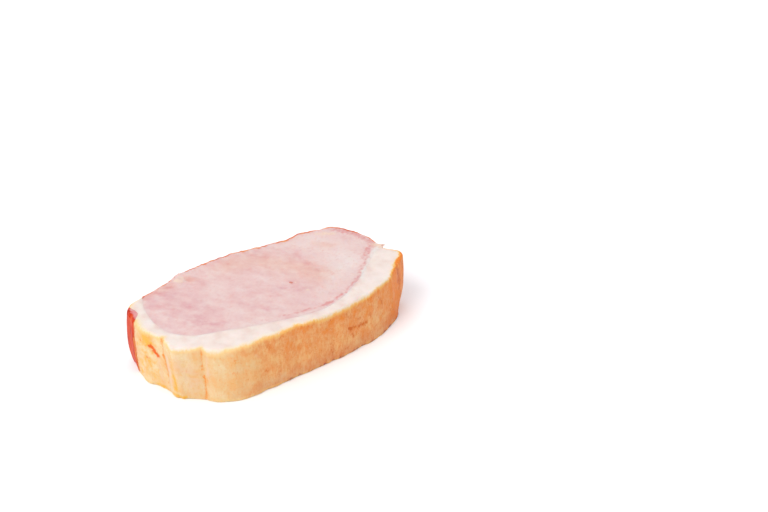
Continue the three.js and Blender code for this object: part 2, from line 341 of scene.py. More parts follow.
def layer(outer, inner, across, up, edges, rise=None, shaved=None):
    """Points of a layer between an outer and an inner line: straight across from the outer line by
    one step, then up by the other, from the lower cut face to the upper. `rise` lifts the upper
    face further, and `shaved` takes something off both, less at the foot. An edge of the layer is a
    quarter circle, sharper at the foot, of at most a third of the width. Also returns how far each
    point is from the two lines."""
    inwards = inner - outer
    width = np.linalg.norm(inwards, axis=1)
    inwards = inwards / width[:, None]
    radii = [np.minimum(edge, width / 3) for edge in edges]
    depth = between(across, width, *radii)
    place = outer + inwards * depth[:, None]
    off = shaved(depth) if shaved else 0
    top = cut_height(*place.T) - off
    top = top + rise(depth, width, place) if rise else top
    reach = np.maximum(*edges)
    height = between(up, top, reach, reach)

    near_outer = across[:, 0] < 0.5
    near_foot = up[:, 0] < 0.5
    from_side, from_cut = rounded(
        np.where(near_outer, depth, width - depth),
        np.where(near_foot, height, top - height),
        np.where(near_outer, *radii) * np.where(near_foot, FOOT_SHARE, 1),
    )
    depth = np.where(near_outer, from_side, width - from_side)
    height = np.where(near_foot, from_cut, top - from_cut)
    place = outer + inwards * depth[:, None]
    height = height + (foot_height(*place.T) + FOOT_SHARE * off) * (1 - height / top)
    return np.column_stack([place, height]), depth, width - depth


def box_skin(counts):
    """The outside of a box of grid points, `counts` of them along each of its three ways: a grid on
    each of the six sides, joined at the edges. Returns the three indices of each outside point,
    and the quads between the points, facing outwards."""
    quads = []
    for axis in range(3):
        first, second = (axis + 1) % 3, (axis + 2) % 3
        sides = np.meshgrid(np.arange(counts[first]), np.arange(counts[second]), indexing="ij")
        for end in (0, counts[axis] - 1):
            index = [None] * 3
            index[axis] = np.full_like(sides[0], end)
            index[first], index[second] = sides
            key = np.ravel_multi_index(index, counts)
            corners = [key[:-1, :-1], key[1:, :-1], key[1:, 1:], key[:-1, 1:]]
            if end == 0:
                corners.reverse()
            quads.append(np.stack(corners, axis=-1).reshape(-1, 4))
    keys, quads = np.unique(np.concatenate(quads), return_inverse=True)
    return np.unravel_index(keys, counts), quads.reshape(-1, 4)


def add_piece(name, points, quads, marks, material):
    """A smooth mesh object from points in millimetres, with each mark as an attribute of its points:
    one number a point, or three, in which case they are millimetres too."""
    mesh = bpy.data.meshes.new(name)
    mesh.from_pydata(points / 1000, [], quads)
    for key, values in marks.items():
        kind, field = ("FLOAT", "value") if values.ndim == 1 else ("FLOAT_VECTOR", "vector")
        values = values if values.ndim == 1 else values / 1000
        layer_of_marks = mesh.attributes.new(key, kind, "POINT")
        layer_of_marks.data.foreach_set(field, values.astype(np.float32).ravel())
    mesh.shade_smooth()
    mesh.validate()
    mesh.materials.append(material)
    piece = bpy.data.objects.new(name, mesh)
    bpy.context.scene.collection.objects.link(piece)
    return piece


def colour(code):
    """A screen colour such as "#f3c68f" as the linear red, green and blue that a shader takes."""
    levels = np.array([int(code[i : i + 2], 16) / 255 for i in (1, 3, 5)])
    linear = np.where(levels <= 0.04045, levels / 12.92, ((levels + 0.055) / 1.055) ** 2.4)
    return (*linear, 1)


def node(tree, kind, sockets=(), **settings):
    """A node of a material. Each socket gets a number, a colour or another node's output."""
    made = tree.nodes.new(kind)
    for name, value in settings.items():
        setattr(made, name, value)
    for name, value in dict(sockets).items():
        if isinstance(value, bpy.types.NodeSocket):
            tree.links.new(value, made.inputs[name])
        else:
            made.inputs[name].default_value = value
    return made


def attribute(tree, name, output="Fac"):
    """A mark of the mesh's points: its number, or as "Vector" its three numbers."""
    return node(tree, "ShaderNodeAttribute", attribute_name=name).outputs[output]


def grain(tree, where, size, stretch=(1, 1, 1), turn=0, detail=3, roughness=0.5):
    """Cloudy noise from 0 to 1 with patches `size` millimetres across, longer by `stretch`, after
    a turn about the upright axis."""
    scale = tuple(1000 / (size * each) for each in stretch)
    turned = node(tree, "ShaderNodeMapping", {"Vector": where, "Rotation": (0, 0, -turn)})
    sized = node(tree, "ShaderNodeMapping", {"Vector": turned.outputs[0], "Scale": scale})
    sockets = {"Vector": sized.outputs[0], "Scale": 1, "Detail": detail, "Roughness": roughness}
    return node(tree, "ShaderNodeTexNoise", sockets).outputs["Fac"]


def sums(tree, operation, first, second=0.0, third=0.0):
    """One sum of two or three numbers or outputs."""
    sockets = {0: first, 1: second, 2: third}
    return node(tree, "ShaderNodeMath", sockets, operation=operation).outputs[0]


def swing(tree, base, share, amount):
    """`base` plus `amount` times how far a noise share lies above or below a half."""
    centred = sums(tree, "SUBTRACT", share, 0.5)
    return sums(tree, "MULTIPLY_ADD", centred, amount, base)


def ease(tree, value, low, high):
    """Eases from nought to one as the value goes from low to high."""
    sockets = {"Value": value, "From Min": low, "From Max": high}
    return node(tree, "ShaderNodeMapRange", sockets, interpolation_type="SMOOTHSTEP").outputs[0]


def ramp(tree, share, stops):
    """Colours along a share, from a dict of places and screen colours."""
    made = node(tree, "ShaderNodeValToRGB", {"Fac": share})
    elements = made.color_ramp.elements
    while len(elements) < len(stops):
        elements.new(0.5)
    for element, (place, code) in zip(elements, sorted(stops.items())):
        element.position = place
        element.color = colour(code)
    return made.outputs["Color"]


def mix(tree, share, first, second, blend="MIX"):
    """Two colours, or screen colour codes, mixed by a share."""
    first, second = (colour(c) if isinstance(c, str) else c for c in (first, second))
    sockets = {0: share, 6: first, 7: second}
    made = node(tree, "ShaderNodeMix", sockets, data_type="RGBA", blend_type=blend)
    return made.outputs[2]


def meat(name, scatter, shine):
    """A new material of moist flesh that lets light in by about `scatter` millimetres, and shines
    from 0, dry, to 0.5, wet. Returns it with its node tree and its shader, whose colour, roughness
    and bump are still to be linked."""
    material = bpy.data.materials.new(name)
    material.use_nodes = True
    tree = material.node_tree
    shader = tree.nodes["Principled BSDF"]
    shader.inputs["Subsurface Weight"].default_value = 0.4
    shader.inputs["Subsurface Radius"].default_value = (1, 0.45, 0.3)
    shader.inputs["Subsurface Scale"].default_value = scatter / 1000
    shader.inputs["IOR"].default_value = 1.42
    shader.inputs["Specular IOR Level"].default_value = shine
    return material, tree, shader


def finish(tree, shader, tint, gloss, relief, strength):
    """Links a surface's colour, roughness and bump to its shader."""
    sockets = {"Height": relief, "Strength": strength, "Distance": BUMP / 1000}
    bumps = node(tree, "ShaderNodeBump", sockets)
    tree.links.new(tint, shader.inputs["Base Color"])
    tree.links.new(gloss, shader.inputs["Roughness"])
    tree.links.new(bumps.outputs["Normal"], shader.inputs["Normal"])


def lean_material():
    """Pale pink lean, clouded and streaked the way its bundles run, browner where it is dry. Close
    to the smoked back it turns orange-red, with upright streaks and threads of golden fat."""
    material, tree, shader = meat("cured lean", scatter=2.2, shine=0.35)
    place = node(tree, "ShaderNodeTexCoord").outputs["Object"]
    clouds = grain(tree, place, 12, stretch=(1.7, 1, 1), turn=-0.35, detail=2)
    bundles = grain(tree, place, 4, stretch=(1.4, 1, 1), turn=-0.6, detail=5, roughness=0.55)
    fibres = grain(tree, place, 1.2, stretch=(1.3, 1, 1), turn=0.5, detail=3)

    redder = sums(tree, "MULTIPLY", attribute(tree, "redder"), ease(tree, bundles, 0.25, 0.6))
    pink = sums(tree, "MULTIPLY_ADD", redder, 0.34, 0.45)
    pink = swing(tree, pink, clouds, 0.7)
    pink = swing(tree, pink, bundles, 0.8)
    pink = swing(tree, pink, fibres, 0.25)
    stops = {0.02: "#d5c5c0", 0.28: "#d2bab5", 0.52: "#ceaeab", 0.78: "#c99f9f", 1: "#c28e90"}
    flesh = ramp(tree, pink, stops)
    dry = ease(tree, swing(tree, attribute(tree, "drier"), bundles, 1), -0.2, 1.3)
    flesh = mix(tree, dry, flesh, mix(tree, 1, flesh, "#fff1e4", "MULTIPLY"))
    fatty = ease(tree, swing(tree, attribute(tree, "fatty"), fibres, 2), 0.1, 1.1)
    flesh = mix(tree, fatty, flesh, "#d6c0ae")

    own_fat = ease(tree, swing(tree, attribute(tree, "own_fat"), bundles, 0.8), 0.25, 0.9)
    flesh = mix(tree, own_fat, flesh, "#d7cbc4")
    streak = swing(tree, swing(tree, attribute(tree, "streak"), fibres, 1.8), bundles, 0.8)
    flesh = mix(tree, ease(tree, streak, 0.05, 1.15), flesh, "#c98f8c")
    flesh = mix(tree, ease(tree, attribute(tree, "blood"), 0.2, 1), flesh, "#b9634a")

    patches = grain(tree, place, 10, stretch=(1, 1, 1.5), detail=4, roughness=0.6)
    wood = grain(tree, place, 1.8, stretch=(1, 1, 6), detail=4, roughness=0.6)
    threads = grain(tree, place, 7, stretch=(1, 1, 5), detail=5, roughness=0.6)
    knobs = grain(tree, place, 3.4, detail=4, roughness=0.6)
    smoked = swing(tree, swing(tree, 0.5, patches, 1.7), wood, 0.7)
    smoked = swing(tree, smoked, knobs, 0.6)
    stops = {0.1: "#9c3e28", 0.32: "#bb5230", 0.58: "#cd7038", 0.8: "#d88945", 1: "#dc9c5a"}
    skin = ramp(tree, smoked, stops)
    gold = ease(tree, swing(tree, swing(tree, threads, wood, 0.4), knobs, 0.5), 0.46, 0.84)
    skin = mix(tree, sums(tree, "MULTIPLY", gold, 0.75), skin, "#dba45c")
    dried = swing(tree, attribute(tree, "from_back"), bundles, -4)
    flesh = mix(tree, ease(tree, dried, 2.3, 0.9), flesh, skin)

    gloss = swing(tree, 0.42, bundles, 0.3)
    finish(tree, shader, flesh, gloss, swing(tree, bundles, fibres, 0.8), 0.35)
    return material


SEAM_LINE = line([
    [-0.424, 0.176], [-0.433, 0.069], [-0.421, -0.096], [-0.381, -0.22], [-0.318, -0.284],
    [-0.225, -0.304], [0.077, -0.316], [0.182, -0.263], [0.294, -0.1], [0.4, 0.127],
    [0.427, 0.171],
])
BACK_LINE = line([
    [-0.419, 0.186], [-0.338, 0.259], [-0.291, 0.317], [-0.085, 0.43], [0.12, 0.466],
    [0.148, 0.474], [0.176, 0.494], [0.25, 0.495], [0.332, 0.487], [0.419, 0.312],
    [0.436, 0.206],
])


def back_fold(distance, share):
    """How far the smoked back stands out at a share of the height: three waves along it, each
    drifting sideways on its way up, less hollows between knobs and upright wrinkles, fading out at
    the two ends and at the upper rim, which is ragged and flares."""
    folds = 0
    for fold in FOLDS:
        drift = FOLD_DRIFT * np.sin(np.pi * share + fold["phase"])
        turn = 2 * np.pi * distance / fold["length"] + fold["phase"] + drift
        folds = folds + fold["height"] * np.sin(turn)
    wall = upon(distance, share * THICKNESS)
    wrinkles = np.abs(rough(wall, BACK_WRINKLES)) + rough(wall, BACK_LINES)
    hollows = dents(wall, BACK_HOLLOWS, swell=1.4)
    ragged = np.abs(rough(upon(distance, 0), BACK_RAGGED)) * rising(share, RAGGED_FROM, 1)
    rim = rising(share, BACK_RIM["from"], 1)
    relief = (folds - wrinkles - hollows) * (1 - BACK_RIM["calmer"] * rim)
    relief = relief - BACK_RIM["flare"] * (1 - rim) - ragged
    from_ends = np.minimum(distance, BACK_LINE[0][-1] - distance)
    return relief * smooth(from_ends / FOLD_FADE)


def eye_rise(depth, width, place):
    """The low dome of the eye, 4 s (1 - s) over its width, flat where the eye is narrow, less the
    grooves between bundles."""
    share = depth / width
    broad = rising(width, EYE_DOME["narrow"], EYE_DOME["full"])
    return EYE_DOME["height"] * 4 * share * (1 - share) * broad - marked(place, GROOVES)


def loin_eye():
    """The skin of the eye, from the seam with the fat to the smoked back, with the marks of its
    flesh. The membrane's tip is the top of its right end, drawn out: by the ease of the height
    above its lower edge, times a bell over the way to the end, times one plus its teeth."""
    along = np.linspace(0, 1, EYE_STEPS["along"] + 1)
    across, up = steps(EYE_STEPS["across"], crowding=1.3), steps(EYE_STEPS["up"])
    (i, j, k), quads = box_skin((len(along), len(across), len(up)))
    share = between(up[k], THICKNESS, BACK_EDGE, BACK_EDGE) / THICKNESS
    seam_way = along[i] * SEAM_LINE[0][-1]
    back_way = along[i] * BACK_LINE[0][-1]
    outer = beside(SEAM_LINE, seam_way, -OVERLAP)
    inner = beside(BACK_LINE, back_way, back_fold(back_way, share))
    edges = (SEAM_EDGE, BACK_EDGE)
    points, _, from_back = layer(outer, inner, across[j], up[k], edges, rise=eye_rise)

    above_edge = THICKNESS * (share - 1) + MEMBRANE["thickness"]
    flap = smooth(above_edge / MEMBRANE["edge"] + 0.5)
    flap = flap * bell(SEAM_LINE[0][-1] - seam_way, MEMBRANE["half"])
    flap = flap * (1 + rough(points, MEMBRANE_TEETH))
    points = points + flap[:, None] * MEMBRANE["out"]

    place = points[:, :2]
    fatty = marked(place, FAT_SPECKS) + flap
    near_rim = rising(share, RIM_FAT["from"], RIM_FAT["full"])
    clear = RIM_FAT["clear"] * fatty * near_rim + MEMBRANE_CLEAR * flap
    from_end = np.minimum(seam_way, SEAM_LINE[0][-1] - seam_way)
    marks = {
        "redder": marked(place, REDDER),
        "drier": marked(place, DRIER),
        "fatty": fatty,
        "blood": marked(place, BLOOD_SPOTS),
        "streak": marked(place, STREAK),
        "own_fat": marked(place, OWN_FAT),
        "from_back": np.minimum(from_back, from_end) + clear,
    }
    return add_piece("loin_eye_flesh", points, quads, marks, lean_material())


eye = loin_eye()
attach(eye, "root")
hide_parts("loin_eye")

# ---- The fat cap ----
# The firm back fat that wraps the eye, cream-white where it is cut, and outside it the rind, the
# scalded skin of the loin that the smoke turned golden to tan. A few creases run up the rind where
# it folded as it hung, and fine upright wrinkles lie between them.

# Radius of the rind's cut edges by the way along it: soft at the left, crisp at the right.
EDGE_WAY = [0, 22, 60, 90, 125, 165, 193]
EDGE_RADIUS = [1, 1.2, 1.5, 1.3, 0.8, 1, 0.9]

# Creases: millimetres along the rind from the left, where each crosses the upper cut face and the
# lower one, how deep it is, half its width, and the sharp slit at its bottom.
CREASES = [
    {"above": 39.5, "below": 42.1, "depth": 0.5, "half": 1.7, "slit": 0.05},
    {"above": 43.9, "below": 48.9, "depth": 0.5, "half": 1.6, "slit": 0.1},
    {"above": 60.1, "below": 61.2, "depth": 0.25, "half": 1.1, "slit": 0},
    {"above": 164.6, "below": 171.6, "depth": 0.2, "half": 1.5, "slit": 0},
]
CREASE_REACH = 5  # how far off a leaning crease still turns the grain of the rind with it
SLIT_HALF = 0.4

# Where the rind isn't upright: how far along this reaches, and how far it stands out at its foot,
# its waist and its rim. The waist is at the belly's share of the height.
LEANS = [
    {"at": 14, "reach": 8.5, "belly": 0.5, "foot": -2.3, "waist": -0.35, "rim": -1.7},
    {"at": 31, "reach": 6, "belly": 0.5, "foot": 1.3, "waist": 0, "rim": 0},
    {"at": 64, "reach": 5, "belly": 0.3, "foot": 0.7, "waist": 0, "rim": 0},
    {"at": 82, "reach": 26, "belly": 0.5, "foot": 0.5, "waist": 0, "rim": -0.5},
    {"at": 157, "reach": 12, "belly": 0.45, "foot": 1.1, "waist": 0, "rim": 0},
    {"at": 183, "reach": 8, "belly": 0.5, "foot": -2.4, "waist": -0.15, "rim": -0.7},
]
FLUTES = [
    {"length": 17.3, "depth": 0.16, "phase": 0.9},
    {"length": 9.1, "depth": 0.1, "phase": 3.3},
]

# The rind's unevenness: long wrinkles, short ones and swells, then pits that set in along the way,
# and the ragged rim and foot. It all lies a little inside the rind's line.
RIND_INSIDE = 0.1
RIND_ROUGH = [
    {"depth": 0.05, "grain": (1.7, 11, 1), "seed": 51},
    {"depth": 0.04, "grain": (1, 2.4, 1), "seed": 52},
    {"depth": 0.12, "grain": (5, 9, 1), "seed": 55},
]
RIND_PITS = {"depth": 0.07, "grain": (1.5, 1.9, 1), "seed": 53}
PITS_WAY = (60, 120)
RIND_RAGGED = {"depth": 0.25, "grain": 2.3, "seed": 54}
RIND_FOOT = {"depth": 0.4, "grain": 4.3, "seed": 56}
FOOT_REACH = 1 / 9  # share of the height

# The strip of lean in the left end: from where to where, and how thick. Past each tip it runs out
# to a feather edge over the length of the taper.
STRIP = {"from": 8, "to": 20.5, "depth": 3.4, "bluntness": 0.7, "taper": 0.6, "edge": 0.06}

# Scars and stains of the rind, through places given as the way along the rind and the height: raw
# orange-red, golden, brown, or (below nought) paler than the rest. One paler mark is a painted
# highlight beside the crease at 60 mm.
RAW = {
    "depth": 0.15,
    "marks": [
        soft([(32, 20.8), (33.4, 19.9), (34.4, 18.2), (36.2, 16.8)], 1, 1.3),
        soft([(21.1, 26), (21.4, 14), (21.6, 2)], 1.1, 0.9),
        soft([(7.3, 27), (7.2, 2)], 0.8, 0.7),
        soft([(25.8, 22), (26.3, 21.4)], 0.8, 0.5),
        soft([(29.4, 13.8), (30, 13.2)], 0.8, 0.4),
        soft([(171.4, 26.6), (172, 24.8)], 1.8, 0.75),
        soft([(173.6, 22), (172.8, 19.4)], 2.2, 0.7),
        soft([(175.4, 17.4), (174.4, 14.8)], 1.7, 0.65),
        soft([(176.4, 11), (176.6, 9.6)], 1.4, 0.5),
        soft([(179, 25), (180, 22)], 1.6, 0.6),
        soft([(181, 17), (182, 13)], 1.9, 0.6),
        soft([(186, 22), (186.4, 19)], 1.4, 0.5),
        soft([(177, 8), (178, 5)], 1.6, 0.6),
        soft([(188, 9), (188.6, 7)], 1.6, 0.5),
    ],
}
GOLDEN = {
    "depth": 0.05,
    "marks": [
        soft([(24.4, 27.6), (28, 26.4), (32, 26.6), (38, 27)], 1.6, 0.6),
        soft([(29.6, 24), (32.4, 22.4)], 2.2, 0.9),
        soft([(27, 22), (33, 6)], 5, 0.5),
        soft([(25.5, 9.6), (26, 9)], 1.5, 0.7),
        soft([(24.8, 4.4), (25.6, 3.6)], 1.5, 0.7),
        soft([(44.6, 26), (46.6, 21), (46.8, 13)], 1, 0.4),
        soft([(46.8, 11), (47.4, 8), (48, 4.6)], 1.2, 1),
        soft([(45.6, 2), (51.6, 1)], 1.2, 1.1),
        soft([(35, 0.8), (41, 0.8)], 1.2, 0.8),
        soft([(163.8, 28), (164.4, 24.6)], 1.2, 0.5),
        soft([(171.4, 27.6), (174, 26.6)], 1.1, 0.4),
    ],
}
BROWN = {
    "depth": 0.03,
    "marks": [
        soft([(39.5, 29.6), (39.6, 26)], 1.4, 1),
        soft([(39.4, 24), (39.8, 19)], 0.9, 0.55),
        soft([(40, 18.6), (41.3, 13.6), (42.2, 10)], 1.3, 1),
        soft([(42.2, 9), (42.2, 4)], 0.9, 0.6),
        soft([(43.6, 28), (45.4, 23.6), (46.4, 20)], 0.8, 0.8),
        soft([(46.2, 19), (46.2, 13)], 0.7, 0.5),
        soft([(43, 20), (44.2, 13), (44.8, 5)], 1, -0.9),
        soft([(36, 15), (38.4, 6)], 1.6, -0.5),
        soft([(60.1, 27), (60.3, 16)], 0.6, 0.9),
        soft([(60.9, 13), (61.2, 10), (61.3, 0.5)], 0.8, 1.25),
        soft([(52.8, 13.4), (56.4, 12.6), (60.4, 12)], 0.6, 0.5),
        soft([(58.8, 8), (59.1, 1)], 0.55, 0.6),
        soft([(51.4, 25.3), (51.2, 22.4)], 1.1, 0.35),
        soft([(52.4, 19.4), (52.8, 18.6)], 1.2, 0.4),
        soft([(50, 20), (58, 8)], 7, -0.5),
        # Painted highlight: the pale strip just right of the crease at 60 mm.
        soft([(62.4, 25), (63, 12)], 1, -0.5),
        soft([(75, 22), (76.8, 23)], 2, 0.4),
        soft([(73.8, 15.8), (74.6, 15)], 1.5, 0.4),
        soft([(91, 25.4), (91.4, 22.6)], 1.3, 0.7),
        soft([(89.4, 10.8), (90, 9.6)], 1.2, 0.4),
        soft([(85.2, 21.2), (86, 20.6)], 1.2, -0.3),
        soft([(97, 26), (96.8, 16), (96.2, 4)], 0.9, 0.35),
        soft([(124.6, 11), (125, 4)], 0.9, 0.5),
        soft([(134, 14.6), (137.6, 13.4)], 0.8, 0.8),
        soft([(140, 12.8), (143.4, 12.2), (144.6, 12.8)], 1.2, 0.95),
        soft([(134.2, 14.4), (135, 12.4)], 0.9, 0.8),
        soft([(136, 10.4), (136.6, 8.6)], 0.9, 0.7),
        soft([(135, 20.4), (136.4, 19.2)], 1.2, 0.6),
        soft([(140, 17), (141.6, 16.8)], 1, 0.6),
        soft([(146.6, 17), (147.4, 14.6)], 0.8, 0.6),
        soft([(132.4, 23), (133, 21.6)], 1, 0.6),
        soft([(153.2, 22), (155.4, 18.4), (156, 15)], 0.8, 0.65),
        soft([(150, 15), (153, 11)], 2.4, -0.25),
    ],
}

# How brown the smoke made the rind, from 0 (pale gold) to 1 (brown), by the way along it.
SMOKE_WAY = [0, 22, 38, 50, 68, 90, 105, 160, 168, 193]
SMOKE_LEVEL = [0.6, 0.14, 0.14, 0.2, 0.22, 0.5, 0.58, 0.64, 0.95, 0.85]

# Where the white of the fat ends: millimetres down the wall from the rim, or below nought in
# from it on the cut face.
WHITE_WAY = [0, 22, 28, 30.5, 33, 36, 38.6, 40.5, 43.6, 48, 57, 60, 63, 68, 71]
WHITE_WAY += [90, 96, 106, 120, 146, 150, 160, 168, 176, 184, 193]
WHITE_END = [-1, -2.4, -0.4, -0.6, 0, -0.2, -2, -1.2, 0, 1.1, 0.2, -1.2, 1.6, 1, -1.2]
WHITE_END += [-1.6, -0.8, -1.2, 0.8, 1, -0.2, 0.5, -1.7, -2.8, -2, -1.6]

# How broad the yellow between white and rind is.
RIM_WAY = [0, 24, 36, 50, 58, 66, 90, 110, 162, 170, 193]
RIM_WIDTH = [2.8, 3.6, 2.4, 2, 2.2, 3.4, 3.1, 2.4, 2.2, 1.2, 1.1]

# How far from a cut face its rim still matters, and how far in the rind's colour reaches on the
# lower one. The cap's two narrow ends were in the smoke too: its mark there, how much stronger it
# grows away from the cut faces, and how fast it fades inwards.
CUT_REACH = 12
FOOT_RIM = 1.5
END_SMOKE = {"mark": 1, "stronger": 2, "fading": 4}
OWN_FAT_CLEAR = 4  # the fat isn't pinker beside the eye's own fat

# Where along it the rind has painted shade towards its foot, and a thin line of painted contact
# shade at the very foot, and where that ends. Over the same span its smoke browns upwards.
FOOT_SHADE_FROM = (66, 96)
FOOT_SHADE_UNTIL = (168, 176)

CAP_STEPS = {"along": 460, "across": 24, "up": 50}

RIND_LINE = line([
    [-0.44, 0.163], [-0.478, 0.137], [-0.498, 0.086], [-0.497, -0.012], [-0.474, -0.113],
    [-0.426, -0.238], [-0.399, -0.353], [-0.318, -0.414], [-0.249, -0.485], [-0.183, -0.491],
    [0.001, -0.413], [0.213, -0.315], [0.364, -0.189], [0.455, -0.045], [0.498, 0.058],
    [0.494, 0.103], [0.451, 0.153],
])


def middle_of(crease):
    """The place of a crease halfway up."""
    return (crease["above"] + crease["below"]) / 2


def leaning(distance, share):
    """Where a grain line of the rind has got to at a share of the height: it leans with the
    creases, by their own lean times a bell over the way to each."""
    turned = distance
    for crease in CREASES:
        nearness = bell(distance - middle_of(crease), CREASE_REACH)
        turned = turned + (crease["below"] - crease["above"]) * (0.5 - share) * nearness
    return turned


def rind_depth(distance, share):
    """How far the rind lies inside its line: a bell for each crease with a narrow one for its
    slit, plus the flutes, less where it leans out at the foot or the rim, plus its unevenness and
    the scars."""
    depth = RIND_INSIDE
    for crease in CREASES:
        away = distance - middle_of(crease)
        depth = depth + crease["depth"] * bell(away, crease["half"])
        depth = depth + crease["slit"] * bell(away, SLIT_HALF)
    for flute in FLUTES:
        turn = 2 * np.pi * distance / flute["length"] + flute["phase"]
        depth = depth + flute["depth"] * np.sin(turn)
    for lean in LEANS:
        below = np.clip(1 - share / lean["belly"], 0, 1) ** 2
        above = np.clip((share - lean["belly"]) / (1 - lean["belly"]), 0, 1) ** 2
        out = lean["foot"] * below + lean["rim"] * above + lean["waist"] * (1 - below - above)
        depth = depth - out * bell(distance - lean["at"], lean["reach"])
    wall = upon(distance, share * THICKNESS)
    uneven = sum(rough(wall, kind) for kind in RIND_ROUGH)
    pits = dents(wall, RIND_PITS, swell=2, rare=1) * rising(distance, *PITS_WAY)
    places = np.stack([leaning(distance, share), share * THICKNESS], axis=-1)
    scars = sum(kind["depth"] * marked(places, kind["marks"]) for kind in (RAW, GOLDEN, BROWN))
    ragged = np.abs(rough(upon(distance, 0), RIND_RAGGED)) * rising(share, RAGGED_FROM, 1)
    foot = np.abs(rough(upon(distance, 0), RIND_FOOT)) * rising(share, FOOT_REACH, 0)
    return depth + uneven + pits + scars + ragged + foot


def strip_thickness(distance):
    """Thickness of the strip of lean: from tip to tip by sin(pi t) to a power."""
    first = STRIP["from"] - STRIP["taper"]
    t = np.clip((distance - first) / (STRIP["to"] + STRIP["taper"] - first), 0, 1)
    return STRIP["edge"] + STRIP["depth"] * np.sin(np.pi * t) ** STRIP["bluntness"]


def edge_radius(distance):
    """Radius of the rind's cut edge at a way along it."""
    return np.interp(distance, EDGE_WAY, EDGE_RADIUS)


def edge_drop(depth, radius):
    """What a rounded edge takes off a cut face at a depth from the rind: r - sqrt(r^2 - (r - d)^2)
    within a radius r of it."""
    short = np.clip(1 - depth / radius, 0, 1)
    return radius * (1 - np.sqrt(1 - short**2))


